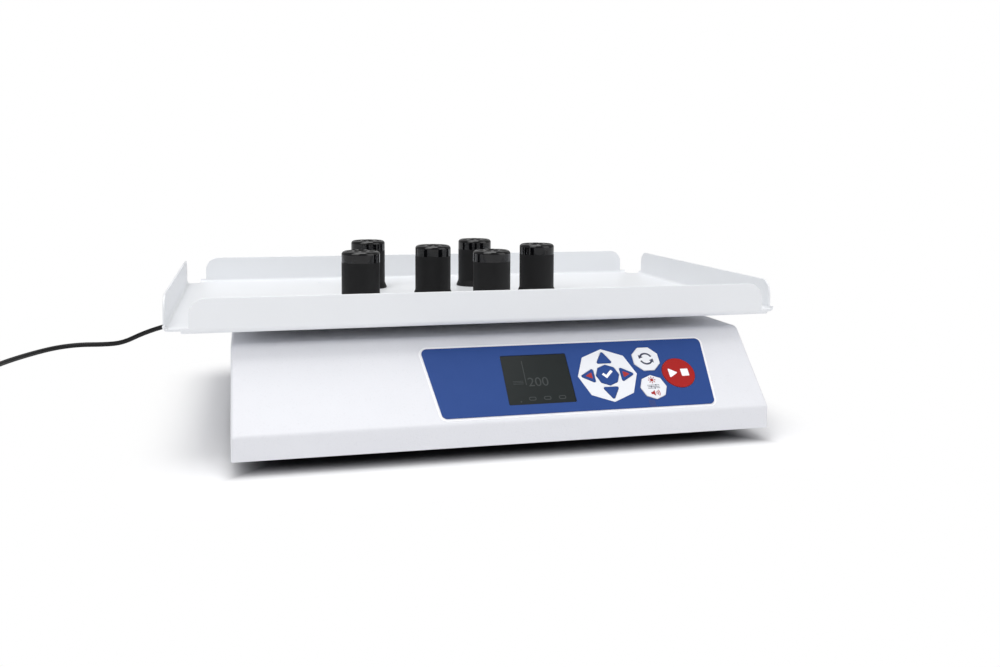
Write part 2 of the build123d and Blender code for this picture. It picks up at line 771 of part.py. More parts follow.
def post_cap(place):
    """A glossy cap with a rounded shoulder, a ring of pockets and a shallow well in its crown."""
    base, top = tray_floor + post_height - post_cap_height, tray_floor + post_height
    spigot = post_radius - post_wall - seat_gap
    cap = rod(place, post_radius, base, top)
    cap = fillet(cap.edges().group_by(Axis.Z)[-1], cap_shoulder)
    cap += rod(place, spigot, base - cap_spigot, base + 1)
    ring = Circle(cap_pocket_outer) - Circle(cap_pocket_inner)
    half = radians(cap_pocket_span / 2)
    reach = 1.2 * cap_pocket_outer
    wedge = make_face(Polyline((0, 0), (reach, -reach * tan(half)), (reach, reach * tan(half)), close=True))
    pocket = fillet((ring & wedge).vertices(), 0.9)
    for i in range(cap_pocket_count):
        turn = Rot(0, 0, 360 * i / cap_pocket_count)
        cap -= Pos(place.X, place.Y, top - cap_pocket_depth) * turn * extrude(pocket, cap_pocket_depth + 1)
    return cap - rod(place, cap_well_radius, top - cap_well_depth, top + 1)


# Control panel
def through_slope(outline):
    """A cutter through the slope's sheet."""
    return slope * Pos(0, 0, -sheet - 1) * extrude(outline, sheet + 3)


def window_outline(grow):
    width, height = window_right - window_left + 2 * grow, window_high - window_low + 2 * grow
    centre = Pos((window_left + window_right) / 2, (window_low + window_high) / 2)
    return centre * RectangleRounded(width, height, window_corner + grow)


def arrow_outline(angle):
    """A rounded triangle that points away from the pad's centre."""
    corners = ((arrow_base, -arrow_half), (arrow_tip, 0), (arrow_base, arrow_half))
    face = make_face(Polyline(*corners, close=True))
    return Pos(*pad_centre) * Rot(0, 0, angle) * fillet(face.vertices(), arrow_corner)


def key_layout():
    """Each key's outline on the slope and the centre of its stem."""
    middle = (arrow_base * 2 + arrow_tip) / 3
    layout = {}
    for name, angle in (("key_right", 0), ("key_up", 90), ("key_left", 180), ("key_down", 270)):
        stem = (pad_centre[0] + middle * cos(radians(angle)), pad_centre[1] + middle * sin(radians(angle)))
        layout[name] = (arrow_outline(angle), stem)
    layout["key_enter"] = (Pos(*pad_centre) * RegularPolygon(enter_radius, 8), pad_centre)
    cycles = Pos(*cycles_centre) * Rot(0, 0, 22.5) * RegularPolygon(cycles_radius, 8)
    layout["key_cycles"] = (cycles, cycles_centre)
    layout["key_settings"] = (Pos(*settings_centre) * RegularPolygon(settings_radius, 8), settings_centre)
    layout["key_start_stop"] = (Pos(*start_centre) * Circle(start_radius), start_centre)
    return layout


def pad_outline(grow):
    return Pos(*pad_centre) * RegularPolygon(pad_radius + grow, 8)


def keypad_overlay():
    face = fillet(make_face(Polyline(*overlay_corners, close=True)).vertices(), overlay_corner)
    face -= window_outline(seat_gap)
    face -= pad_outline(seat_gap)
    for name in ("key_cycles", "key_settings", "key_start_stop"):
        face -= offset(key_layout()[name][0], key_gap)
    return slope * extrude(face, overlay_thickness)


def arrow_pad():
    """The octagonal field round the arrow keys, a touch proud of the overlay."""
    face = pad_outline(0)
    for name in ("key_right", "key_up", "key_left", "key_down", "key_enter"):
        face -= offset(key_layout()[name][0], key_gap)
    return slope * extrude(face, overlay_thickness + pad_rise)


def key(outline, stem):
    """A key cap on a stem that snaps through the slope's sheet with a barb."""
    cap = Pos(0, 0, key_top - key_cap) * extrude(outline, key_cap)
    cap = chamfer(cap.edges().group_by(Axis.Z)[-1], key_edge)
    barb_top = -sheet - key_barb_gap
    shaft_top = key_top - key_cap / 2
    shaft = Cylinder(key_stem_radius, shaft_top + key_reach)
    shaft = Pos(stem[0], stem[1], (shaft_top - key_reach) / 2) * shaft
    barb = Pos(stem[0], stem[1], barb_top - key_barb_height / 2) * Cylinder(key_barb_radius, key_barb_height)
    return slope * (cap + shaft + barb)


def display_window():
    face = window_outline(-seat_gap)
    thickness = sheet + overlay_thickness - window_recess
    return slope * Pos(0, 0, -sheet) * extrude(face, thickness)


def display_module():
    """The display's metal frame and glass on the front board, close behind the window."""
    width, height = window_right - window_left + 2 * lcd_margin, window_high - window_low + 2 * lcd_margin
    depth = board_drop - sheet - 0.1
    middle = Pos((window_left + window_right) / 2, (window_low + window_high) / 2, -board_drop)
    frame = middle * extrude(RectangleRounded(width, height, 1), depth)
    inset = extrude(Rectangle(width - 2 * lcd_margin, height - 2 * lcd_margin), lcd_recess)
    return slope * (frame - middle * Pos(0, 0, depth - lcd_recess) * inset)


def front_board():
    outline = Pos((board_left + board_right) / 2, (board_low + board_high) / 2)
    board = outline * RectangleRounded(board_right - board_left, board_high - board_low, 2)
    for place in board_studs():
        board -= Pos(*place) * Circle(small_shank + screw_gap)
    return slope * Pos(0, 0, -board_drop - board_thickness) * extrude(board, board_thickness)


def board_spacer(place):
    ring = Circle(board_spacer_radius) - Circle(small_shank + screw_gap)
    return slope * Pos(place[0], place[1], -board_drop) * extrude(ring, board_drop - sheet)


def board_nut(place):
    nut = RegularPolygon(board_nut_flats / 2, 6, major_radius=False) - Circle(small_shank + seat_gap)
    low = board_drop + board_thickness + board_nut_height
    return slope * Pos(place[0], place[1], -low) * extrude(nut, board_nut_height)


def key_switch(stem):
    """A square switch with a round plunger that ends just past the key's travel."""
    body = Pos(stem[0], stem[1], -board_drop) * extrude(Rectangle(switch_body, switch_body), switch_height)
    top = key_reach + key_travel + 0.1
    plunger = Pos(stem[0], stem[1], -board_drop) * extrude(Circle(key_stem_radius * 0.8), board_drop - top)
    return slope * (body + plunger)


# Electronics on the pan
def logic_places():
    across = logic_length / 2 - logic_hole_inset
    deep = logic_depth / 2 - logic_hole_inset
    return [Vector(logic_x + x, logic_y + y, 0) for x in (-across, across) for y in (-deep, deep)]


def control_board():
    low = pan_top + logic_lift
    board = plate(logic_x - logic_length / 2, logic_x + logic_length / 2, logic_y - logic_depth / 2,
                  logic_y + logic_depth / 2, low, low + board_thickness, 2)
    for place in logic_places():
        board -= rod(place, small_shank + screw_gap, low - 1, low + board_thickness + 1)
    return board


def board_posts():
    posts = []
    for place in logic_places():
        post = rod(place, board_spacer_radius, pan_top, pan_top + logic_lift)
        posts.append(post - rod(place, small_shank + screw_gap, pan_top - 1, pan_top + logic_lift + 1))
    return posts


def board_screws():
    low = pan_top + logic_lift + board_thickness
    return [upright_screw(place, low, board_thickness + logic_lift + pan_floor) for place in logic_places()]


def control_parts():
    """Capacitors, the driver's heat sink, the connectors and two chips on the control board."""
    base = pan_top + logic_lift + board_thickness
    corner = Pos(logic_x - logic_length / 2, logic_y - logic_depth / 2, base)
    parts = []
    for x in (14, 27):
        can = Cylinder(5, 13, align=standing)
        parts.append(corner * Pos(x, 27, 0) * fillet(can.edges().group_by(Axis.Z)[-1], 0.8))
    sink = Box(24, 16, 2, align=standing)
    for i in range(6):
        sink += Pos(-11 + 4.4 * i, 0, 1) * Box(1.2, 16, 9, align=standing)
    parts.append(corner * Pos(50, 24, 0) * sink)
    parts.append(corner * Pos(52, 8, 0) * Box(10, 10, 1.2, align=standing))
    parts.append(corner * Pos(34, 8, 0) * Box(7, 7, 1.2, align=standing))
    for x in (70, 82):
        header = Box(9, 6, 7, align=standing) - Pos(0, 0, 1.5) * Box(7.4, 4.4, 7, align=standing)
        parts.append(corner * Pos(x, 30, 0) * header)
    parts.append(corner * Pos(76, 12, 0) * Box(16, 8, 4, align=standing))
    return parts


# Rear wall
def dc_jack():
    """A panel jack: flange outside, barrel through the wall, body behind and a centre pin in its bore."""
    inner = jack_depth + sheet
    jack = Pos(0, 0, jack_flange_height / 2) * Cylinder(jack_flange, jack_flange_height)
    jack = fillet(jack.edges().group_by(Axis.Z)[-1], 0.5)
    jack += Pos(0, 0, -inner / 2) * Cylinder(jack_barrel, inner)
    bore_base = jack_flange_height - jack_bore_depth
    jack -= Pos(0, 0, bore_base) * Cylinder(jack_bore, jack_bore_depth + 1, align=standing)
    jack += Pos(0, 0, bore_base - 0.5) * Cylinder(jack_pin, jack_bore_depth - 1, align=standing)
    return rear_wall * Pos(-inlet_x, inlet_z, 0) * jack


def jack_nut():
    ring = RegularPolygon(jack_nut_flats / 2, 6, major_radius=False) - Circle(jack_barrel + seat_gap)
    return rear_wall * Pos(-inlet_x, inlet_z, -sheet - jack_nut_height) * extrude(ring, jack_nut_height)


def switch_frame():
    """The rocker's frame: a bezel outside and a cup through the wall."""
    hole_x, hole_z = rocker_length + 2 * rocker_gap, rocker_height + 2 * rocker_gap
    around = 2 * (switch_skin + bezel_margin)
    cup = Rectangle(hole_x + 2 * switch_skin, hole_z + 2 * switch_skin)
    bezel = RectangleRounded(hole_x + around, hole_z + around, 1.5)
    frame = chamfer(extrude(bezel, bezel_height).edges().group_by(Axis.Z)[-1], 0.5)
    frame += Pos(0, 0, -switch_depth) * extrude(cup, switch_depth)
    frame -= Pos(0, 0, -rocker_pivot_depth - rocker_sweep() - 1) * extrude(Rectangle(hole_x, hole_z), 30)
    reach = rocker_height + 2 * (rocker_gap + pivot_bite + pivot_gap)
    frame -= Pos(0, 0, -rocker_pivot_depth) * Rot(90, 0, 0) * Cylinder(pivot_radius + pivot_gap, reach)
    return rear_wall * Pos(-rocker_x, inlet_z, 0) * frame


def rocker_sweep():
    """Room under the rocker for its lower corners as it tips."""
    return rocker_length / 2 * sin(radians(rocker_angle)) + 2.5


def switch_rocker():
    """A rocker with a shallow V face, at rest tipped to one side about an upright axis."""
    half = rocker_length / 2
    crest = rocker_pivot_depth + bezel_height + rocker_proud
    valley = crest - half * sin(radians(rocker_angle))
    edge = half * cos(radians(rocker_angle)) - 0.4
    corners = ((-edge, -2), (edge, -2), (edge, crest), (0, valley), (-edge, crest))
    face = make_face(Polyline(*corners, close=True))
    face = fillet(face.vertices().group_by(Axis.Y)[-1], 0.8)
    body = Rot(90, 0, 0) * extrude(face, rocker_height / 2, both=True)
    body += Rot(90, 0, 0) * Cylinder(pivot_radius, rocker_height + 2 * (rocker_gap + pivot_bite))
    return rear_wall * Pos(-rocker_x, inlet_z, -rocker_pivot_depth) * Rot(0, rocker_angle, 0) * body


# Cord, from the jack to the adapter
def plug_face():
    return rear_y + jack_flange_height + plug_gap


def along_rear(points):
    """A piece turned about the inlet's axis, its half section given outwards from the wall."""
    section = make_face(Polyline(*points, close=True))
    return Pos(inlet_x, 0, inlet_z) * revolve(section, Axis.Y)


def dc_plug():
    face, back = plug_face(), plug_face() + plug_grip_length
    tip = face - plug_sleeve_length
    hole = jack_pin + 0.15
    grip = plug_grip_radius
    return along_rear([(hole, tip), (plug_sleeve - 0.3, tip), (plug_sleeve, tip + 0.3), (plug_sleeve, face),
                       (grip - 0.8, face), (grip, face + 0.8), (grip, back - 5), (grip - 1.4, back),
                       (0, back), (0, face), (hole, face)])


def plug_relief():
    """A tapered sleeve with three cut rings behind the plug's grip."""
    start, end = plug_face() + plug_grip_length, plug_face() + plug_grip_length + relief_length
    root = plug_grip_radius - 1.4
    points = [(0, start), (root, start)]
    rings = 4
    for i in range(rings):
        low = start + 1.5 + i * (relief_length - 2.5) / rings
        radius = root + (relief_tip - root) * (low - start) / relief_length
        points += [(radius, low), (radius - 0.6, low + 0.3), (radius - 0.6, low + 1.2),
                   (radius - 0.1, low + 1.5)]
    return along_rear(points + [(relief_tip, end), (0, end)])


relief_end = plug_face() + plug_grip_length + relief_length
cord_rest = cord_radius + 0.05
cord_route = [(inlet_x, relief_end, inlet_z), (inlet_x, 200, inlet_z), (-118, 226, 26.5), (-143, 245, 25.5),
              (-175, 251, 24), (-202, 250, 20.5), (-224, 258, 12.6), (-241, 264, 3.8), (-258, 270, cord_rest),
              (-277, 274, cord_rest), (-295, 263, cord_rest), (-309, 237, cord_rest), (-320, 210, cord_rest),
              (-327, 184, cord_rest), (-329.5, 160, cord_rest), (-329, 144, cord_rest)]
adapter_relief_end = adapter_rear + adapter_relief_length
adapter_middle = adapter_height / 2
tail_route = [(-329, 150, 9.9), (-328.5, 132, 10.2), (-326, 114, 12.6), (adapter_x, 103, adapter_middle),
              (adapter_x, adapter_relief_end, adapter_middle)]


def bend_radii(route):
    """The largest arc that fits each corner of a route."""
    radii = []
    for before, corner, after in zip(route, route[1:], route[2:]):
        first, second = Vector(*corner) - Vector(*before), Vector(*after) - Vector(*corner)
        half_turn = radians(first.get_angle(second)) / 2
        radii.append(0.45 * min(first.length, second.length) / tan(half_turn))
    return radii


def cord_stretch(route):
    path = FilletPolyline(*route, radius=bend_radii(route))
    start = Plane(origin=path @ 0, z_dir=path % 0)
    return sweep(start * Circle(cord_radius), path=path)


def cord_coil():
    outline = RectangleRounded(coil_outer - coil_inner, coil_height, coil_round)
    section = Plane.XZ * Pos((coil_inner + coil_outer) / 2, coil_height / 2) * outline
    return Pos(*coil_centre, 0) * revolve(section, Axis.Z)


def adapter_case():
    middle = Pos(adapter_x, adapter_rear - adapter_length / 2, adapter_middle)
    case = middle * Box(adapter_width, adapter_length, adapter_height)
    case = fillet(case.edges().filter_by(Axis.Y), adapter_round)
    return fillet(case.edges(), 1.5)


def adapter_relief():
    section = make_face(Polyline((0, adapter_rear), (adapter_relief_root, adapter_rear),
                                 (adapter_relief_root, adapter_rear + 2), (relief_tip, adapter_relief_end),
                                 (0, adapter_relief_end), close=True))
    return Pos(adapter_x, 0, adapter_middle) * revolve(section, Axis.Y)


def adapter_pin(side):
    front = adapter_rear - adapter_length
    tip = front - adapter_pin_length
    section = make_face(Polyline((0, front), (adapter_pin_radius, front), (adapter_pin_radius, tip + 1),
                                 (adapter_pin_radius - 1, tip), (0, tip), close=True))
    return Pos(adapter_x + side * adapter_pin_gap, 0, adapter_middle) * revolve(section, Axis.Y)


def all_nodes():
    """Every node of the shaker by name."""
    nodes = {
        "housing_cover": housing_cover(),
        "base_pan": base_pan(),
        "rubber_feet": group(foot_pad(foot) for foot in feet),
        "foot_screws": group(foot_screw(foot) for foot in feet),
        "cover_screws": group(cover_screw(place) for place in cover_screw_places()),
        "chassis_plate": chassis_plate(),
        "chassis_pillars": group(pillar(place) for place in pillars),
        "pillar_screws": group(screw for place in pillars for screw in pillar_screws(place)),
        "bearing_cartridges": group(cartridge(axis) for axis in crank_axes),
        "cartridge_bearings": group(bearing(axis, bottom) for axis in crank_axes
                                    for bottom in (cartridge_bottom, cartridge_top - bearing_width)),
        "chassis_screws": group(chassis_screws()),
        "main_crank": crank(drive),
        "driven_pulley": driven_pulley(),
        "counterweight": counterweight(),
        "counterweight_screws": group(weight_screw(place) for place in weight_screw_places()),
        "speed_magnet": speed_magnet(),
        "drive_belt": drive_belt(),
        "motor_can": motor_can(),
        "motor_shaft": motor_shaft(),
        "motor_pulley": motor_pulley(),
        "speed_sensor": speed_sensor(),
        "platform_carrier": platform_carrier(),
        "carrier_bearings": group(bearing(pin, bearing_seat) for pin in crank_pins()),
        "shaker_tray": shaker_tray(),
        "tray_screws": group(tray_screw(place) for place in tray_screw_places()),
        "post_feet": group(post_foot(place) for place in post_centres()),
        "post_magnets": group(post_magnet(place) for place in post_centres()),
        "post_sleeves": group(post_sleeve(place) for place in post_centres()),
        "post_caps": group(post_cap(place) for place in post_centres()),
        "keypad_overlay": keypad_overlay(),
        "arrow_pad": arrow_pad(),
        "display_window": display_window(),
        "display_module": display_module(),
        "front_board": front_board(),
        "front_board_fixings": group(piece(place) for place in board_studs()
                                     for piece in (board_spacer, board_nut)),
        "key_switches": group(key_switch(stem) for outline, stem in key_layout().values()),
        "control_board": control_board(),
        "control_board_fixings": group(board_posts() + board_screws()),
        "control_board_parts": group(control_parts()),
        "dc_jack": dc_jack(),
        "jack_nut": jack_nut(),
        "switch_frame": switch_frame(),
        "switch_rocker": switch_rocker(),
        "dc_plug": dc_plug(),
        "plug_relief": plug_relief(),
        "power_cord": group([cord_stretch(cord_route), cord_stretch(tail_route)]),
        "cord_coil": cord_coil(),
        "adapter_case": group([adapter_case(), adapter_relief()]),
        "adapter_pins": group(adapter_pin(side) for side in (-1, 1)),
    }
    for number, axis in enumerate(idlers, 1):
        nodes[f"idler_crank_{number}"] = crank(axis)
    for name, (outline, stem) in key_layout().items():
        nodes[name] = key(outline, stem)
    return nodes


os.makedirs("parts", exist_ok=True)
for name, shape in all_nodes().items():
    export_step(shape, f"parts/{name}.step")
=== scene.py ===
from math import atan2, cos, pi, radians, sin

import bpy
from mathutils import Matrix, Vector


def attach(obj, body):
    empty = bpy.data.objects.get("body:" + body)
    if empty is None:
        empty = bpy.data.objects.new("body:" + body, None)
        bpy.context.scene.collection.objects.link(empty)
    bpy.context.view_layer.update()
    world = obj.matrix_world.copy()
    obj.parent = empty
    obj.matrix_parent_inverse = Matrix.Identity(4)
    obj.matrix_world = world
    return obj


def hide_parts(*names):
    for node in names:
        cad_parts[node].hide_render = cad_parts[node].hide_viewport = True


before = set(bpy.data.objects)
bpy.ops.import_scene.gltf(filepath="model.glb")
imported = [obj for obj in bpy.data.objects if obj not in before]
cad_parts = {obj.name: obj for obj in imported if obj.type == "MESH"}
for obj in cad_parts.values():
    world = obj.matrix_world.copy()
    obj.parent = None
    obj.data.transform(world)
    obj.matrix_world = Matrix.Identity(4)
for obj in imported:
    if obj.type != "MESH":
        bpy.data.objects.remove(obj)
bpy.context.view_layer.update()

mm = 0.001
white = (1, 1, 1, 1)


def linked(name, data):
    made = bpy.data.objects.new(name, data)
    bpy.context.collection.objects.link(made)
    return made


# Camera
camera = {
    "place": (-0.1355, -0.6501, 0.1577),
    "yaw": 14.525,  # to the right of straight ahead
    "pitch": 3.619,  # downwards
    "roll": 0.298,
    "lens": 36.06,
    "sensor": 36,
    "shift": (-0.0065, -0.1035),
    "clip": (0.01, 30),
}


def makeCamera(look):
    yaw, pitch, roll = (radians(look[key]) for key in ("yaw", "pitch", "roll"))
    ahead = Vector((sin(yaw) * cos(pitch), cos(yaw) * cos(pitch), -sin(pitch)))
    level = Vector((cos(yaw), -sin(yaw), 0))
    upright = level.cross(ahead)
    right = cos(roll) * level + sin(roll) * upright
    up = -sin(roll) * level + cos(roll) * upright
    data = bpy.data.cameras.new("camera")
    data.sensor_width = look["sensor"]
    data.lens = look["lens"]
    data.shift_x, data.shift_y = look["shift"]
    data.clip_start, data.clip_end = look["clip"]
    made = linked("camera", data)
    turn = Matrix((right, up, -ahead)).transposed().to_4x4()
    made.matrix_world = Matrix.Translation(look["place"]) @ turn
    bpy.context.scene.camera = made


makeCamera(camera)
print("camera ready")


# Finishes
class Field:  # a node's output that takes part in sums
    def __init__(self, nodes, socket):
        self.nodes = nodes
        self.socket = socket

    def __add__(self, other):
        return self.nodes.math("ADD", self, other)

    def __sub__(self, other):
        return self.nodes.math("SUBTRACT", self, other)

    def __rsub__(self, other):
        return self.nodes.math("SUBTRACT", other, self)

    def __mul__(self, other):
        return self.nodes.math("MULTIPLY", self, other)

    def __gt__(self, other):
        return self.nodes.math("GREATER_THAN", self, other)

    def __lt__(self, other):
        return self.nodes.math("LESS_THAN", self, other)

    def clamped(self, low, high):  # 0 below low, 1 above high, an eased step between them
        settings = {"interpolation_type": "SMOOTHSTEP"}
        return self.nodes.node("MapRange", settings, {"Value": self, "From Min": low, "From Max": high})

    __radd__ = __add__
    __rmul__ = __mul__


class Nodes:  # the nodes of one material, or of the world
    def __init__(self, owner):
        owner.use_nodes = True
        self.tree = owner.node_tree

    def feed(self, node, sockets):
        for key, value in sockets.items():
            if isinstance(value, Field):
                self.tree.links.new(value.socket, node.inputs[key])
            else:
                node.inputs[key].default_value = value

    def node(self, kind, settings=None, sockets=None, output=0):
        made = self.tree.nodes.new("ShaderNode" + kind)
        for key, value in (settings or {}).items():
            setattr(made, key, value)
        self.feed(made, sockets or {})
        return Field(self, made.outputs[output])

    def math(self, operation, *values):
        return self.node("Math", {"operation": operation}, dict(enumerate(values)))

    def seenWhite(self, shader, kind, mask, target):  # plain white to the camera where mask is 1
        glare = self.node(kind, sockets={"Color": white, "Strength": 1.0})
        mixed = self.node("MixShader", sockets={0: mask, 1: Field(self, shader.outputs[0]), 2: glare})
        self.feed(self.tree.nodes[target], {"Surface": mixed})


class Finish(Nodes):  # one material on Blender's principled shader
    def __init__(self, name, fixed=None):
        self.material = bpy.data.materials.new(name)
        super().__init__(self.material)
        self.shader = self.tree.nodes["Principled BSDF"]
        self.spot = self.node("TexCoord", output="Object")
        self.set(fixed or {})

    def set(self, values):
        self.feed(self.shader, values)

    def grain(self, size, detail=2.0, stretch=(1, 1, 1)):  # noise with features of that size, in metres
        vector = self.node("Mapping", sockets={"Vector": self.spot, "Scale": stretch})
        return self.node("TexNoise", sockets={"Vector": vector, "Scale": 1 / size, "Detail": detail})

    def cells(self, size, feature):
        return self.node("TexVoronoi", {"feature": feature}, {"Vector": self.spot, "Scale": 1 / size})

    def along(self, axis):
        return self.node("SeparateXYZ", sockets={0: self.spot}, output=axis)

    def tint(self, mask, first, second):
        return self.node("Mix", {"data_type": "RGBA"}, {0: mask, 6: first, 7: second}, 2)

    def bump(self, height, depth):
        self.set({"Normal": self.node("Bump", sockets={"Height": height, "Distance": depth})})


def ink(red, green, blue):  # a screen colour, 0 to 255, as the shader takes it
    shares = [value / 255 for value in (red, green, blue)]
    return tuple(share / 12.92 if share < 0.04 else ((share + 0.055) / 1.055) ** 2.4
                 for share in shares) + (1,)


def shade(colour, factor):
    return tuple(min(1, value * factor) for value in colour[:3]) + (1,)


def powderCoat(name, look):  # sprayed powder: fine pebbles, a slight mottle, flecks and dulled patches
    made = Finish(name, {"IOR": look["ior"]})
    colour = look["colour"]
    mottle = made.grain(look["mottle"], 3)
    flecks = made.grain(look["speck"], 1).clamped(*look["flecks"]) * look["speckle"]
    coat = made.tint(mottle, shade(colour, look["dull"]), shade(colour, look["pale"]))
    made.set({"Base Color": made.tint(flecks, coat, shade(colour, look["fleck"]))})
    made.set({"Roughness": mottle * look["patches"] + look["roughness"]})
    made.bump(made.grain(look["pebble"], 2), look["depth"])
    return made


def plated(name, look):  # machined or rolled metal: fine lines one way, a faint haze
    made = Finish(name, {"Metallic": 1.0})
    lines = made.grain(look["line"], 3, look["stretch"])
    haze = made.grain(look["haze"], 2)
    made.set({"Base Color": made.tint(lines, shade(look["colour"], look["groove"]), look["colour"])})
    made.set({"Roughness": lines * look["lineDull"] + haze * look["hazeDull"] + look["roughness"]})
    made.bump(lines, look["depth"])
    return made


def moulded(name, look):  # plastic or rubber: spark-eroded grain, a little bloom and rubbed places
    made = Finish(name, {"IOR": look["ior"], "Specular IOR Level": look["sheen"]})
    bloom = made.grain(look["patch"], 3)
    colour = made.tint(bloom, look["colour"], shade(look["colour"], look["bloom"]))
    height = made.grain(look["pebble"], 2)
    if "seam" in look:  # two halves that meet at a fine dark line
        low, high = look["seam"] - look["gap"], look["seam"] + look["gap"]
        seam = (made.along(2) > low) * (made.along(2) < high)
        colour = made.tint(seam, colour, shade(look["colour"], look["seamShade"]))
        height = height * look["shellGrain"] - seam * look["seamDepth"]
    made.set({"Base Color": colour, "Roughness": bloom * look["rubbed"] + look["roughness"]})
    made.bump(height, look["depth"])
    return made


# Sizes of grain, lines and depths are in metres. Shades are shares of the colour.
coatLook = {
    "ior": 1.5,
    "pale": 1.02,
    "dull": 0.975,
    "fleck": 0.72,
    "flecks": (0.62, 0.7),  # the noise between which a fleck fades in
    "patches": 0.08,  # what the mottle adds to the roughness
}
housingLook = {**coatLook, "colour": ink(229, 230, 235), "roughness": 0.42, "mottle": 0.02,
               "speck": 0.0011, "speckle": 0.1, "pebble": 0.0008, "depth": 0.00007}
trayLook = {**coatLook, "colour": ink(236, 238, 241), "roughness": 0.34, "mottle": 0.05,
            "speck": 0.003, "speckle": 0.0, "pebble": 0.0015, "depth": 0.00004}
panLook = {**coatLook, "colour": ink(30, 31, 33), "roughness": 0.5, "mottle": 0.02,
           "speck": 0.001, "speckle": 0.05, "pebble": 0.0007, "depth": 0.0001}
motorLook = {**coatLook, "colour": ink(44, 46, 50), "roughness": 0.38, "mottle": 0.01,
             "speck": 0.001, "speckle": 0.05, "pebble": 0.0005, "depth": 0.00004}

metalLook = {
    "haze": 0.012,
    "groove": 0.86,
    "lineDull": 0.14,  # what the lines and the haze add to the roughness
    "hazeDull": 0.06,
}
steelLook = {**metalLook, "colour": ink(200, 200, 205), "roughness": 0.24,
             "line": 0.0012, "stretch": (1, 1, 8), "depth": 0.00001}
zincLook = {**metalLook, "colour": ink(214, 214, 220), "roughness": 0.22,
            "line": 0.0008, "stretch": (1, 1, 5), "depth": 0.00001}
aluminiumLook = {**metalLook, "colour": ink(214, 216, 220), "roughness": 0.3,
                 "line": 0.0015, "stretch": (12, 1, 1), "depth": 0.00001}
weightLook = {**metalLook, "colour": ink(120, 122, 128), "roughness": 0.36,
              "line": 0.0018, "stretch": (1, 9, 1), "depth": 0.00002}
bearingLook = {**metalLook, "colour": ink(222, 222, 226), "roughness": 0.1,
               "line": 0.0006, "stretch": (1, 1, 12), "depth": 0.000004}
nickelLook = {**metalLook, "colour": ink(218, 214, 206), "roughness": 0.12,
              "line": 0.001, "stretch": (1, 1, 4), "depth": 0.000004}
brassLook = {**metalLook, "colour": ink(214, 178, 112), "roughness": 0.2,
             "line": 0.0008, "stretch": (1, 6, 1), "depth": 0.000008}

plasticLook = {
    "ior": 1.47,
    "sheen": 0.5,
    "patch": 0.009,  # size of the rubbed places
    "rubbed": 0.1,  # what they add to the roughness
}
rubberLook = {**plasticLook, "colour": ink(32, 32, 33), "roughness": 0.62,
              "bloom": 1.5, "pebble": 0.0006, "depth": 0.00008}
sleeveLook = {**plasticLook, "colour": ink(19, 19, 20), "sheen": 0.25, "roughness": 0.5,
              "bloom": 1.15, "pebble": 0.0004, "depth": 0.00004}
capLook = {**plasticLook, "colour": ink(6, 6, 8), "ior": 1.55, "sheen": 0.42, "roughness": 0.05,
           "bloom": 1.2, "pebble": 0.002, "depth": 0.00001}
caseLook = {**plasticLook, "colour": ink(30, 30, 32), "roughness": 0.42,
            "bloom": 1.3, "pebble": 0.0005, "depth": 0.00006}
shellLook = {**caseLook, "seam": 0.015, "gap": 0.0003,  # the seam's height and half its width
             "seamShade": 0.3, "seamDepth": 3.0, "shellGrain": 0.4}
cordLook = {**plasticLook, "colour": ink(10, 10, 12), "sheen": 0.35, "roughness": 0.36,
            "bloom": 1.3, "pebble": 0.001, "depth": 0.00002}
keyLook = {**plasticLook, "roughness": 0.34, "bloom": 0.97, "pebble": 0.0003, "depth": 0.00001}
overlayLook = {**keyLook, "colour": ink(47, 76, 140), "sheen": 0.12, "roughness": 0.4, "bloom": 0.93}
glassLook = {**plasticLook, "colour": ink(40, 44, 44), "sheen": 0.12, "roughness": 0.16,
             "bloom": 0.93, "pebble": 0.006, "depth": 0.00001}

housingPaint = powderCoat("housingPaint", housingLook)
trayPaint = powderCoat("trayPaint", trayLook)
panPaint = powderCoat("panPaint", panLook)
motorPaint = powderCoat("motorPaint", motorLook)
steel = plated("steel", steelLook)
zinc = plated("zinc", zincLook)
aluminium = plated("aluminium", aluminiumLook)
weightSteel = plated("weightSteel", weightLook)
bearingSteel = plated("bearingSteel", bearingLook)
nickel = plated("nickel", nickelLook)
brass = plated("brass", brassLook)
footRubber = moulded("footRubber", rubberLook)
sleeveBlack = moulded("sleeveBlack", sleeveLook)
capBlack = moulded("capBlack", capLook)
caseBlack = moulded("caseBlack", caseLook)
adapterShell = moulded("adapterShell", shellLook)
cordBlack = moulded("cordBlack", cordLook)
overlayBlue = moulded("overlayBlue", overlayLook)
keyBlue = moulded("keyBlue", {**keyLook, "colour": overlayLook["colour"], "sheen": 0.12})
keyWhite = moulded("keyWhite", {**keyLook, "colour": ink(236, 238, 243)})
keyRed = moulded("keyRed", {**keyLook, "colour": ink(168, 36, 34), "sheen": 0.15})
windowGlass = moulded("windowGlass", glassLook)
displayGrey = moulded("displayGrey", {**glassLook, "colour": ink(60, 66, 65)})
segmentGrey = moulded("segmentGrey", {**glassLook, "colour": ink(68, 72, 72)})
inkWhite = moulded("inkWhite", {**keyLook, "colour": ink(253, 253, 255)})
inkRed = moulded("inkRed", {**keyLook, "colour": ink(168, 36, 36)})
inkDark = moulded("inkDark", {**keyLook, "colour": ink(58, 62, 84)})
inkNavy = moulded("inkNavy", {**keyLook, "colour": ink(40, 62, 124)})

boardLook = {
    "trackCell": 0.006,
    "trackEdge": (0.02, 0.05),
    "padCell": 0.004,
    "padReach": 0.12,
    "track": ink(38, 116, 66),
    "lacquer": ink(16, 78, 42),
    "tin": ink(204, 206, 204),
    "tinMetal": 0.9,
    "patch": 0.01,
    "rubbed": 0.1,
    "roughness": 0.28,
    "depth": 0.00003,
}


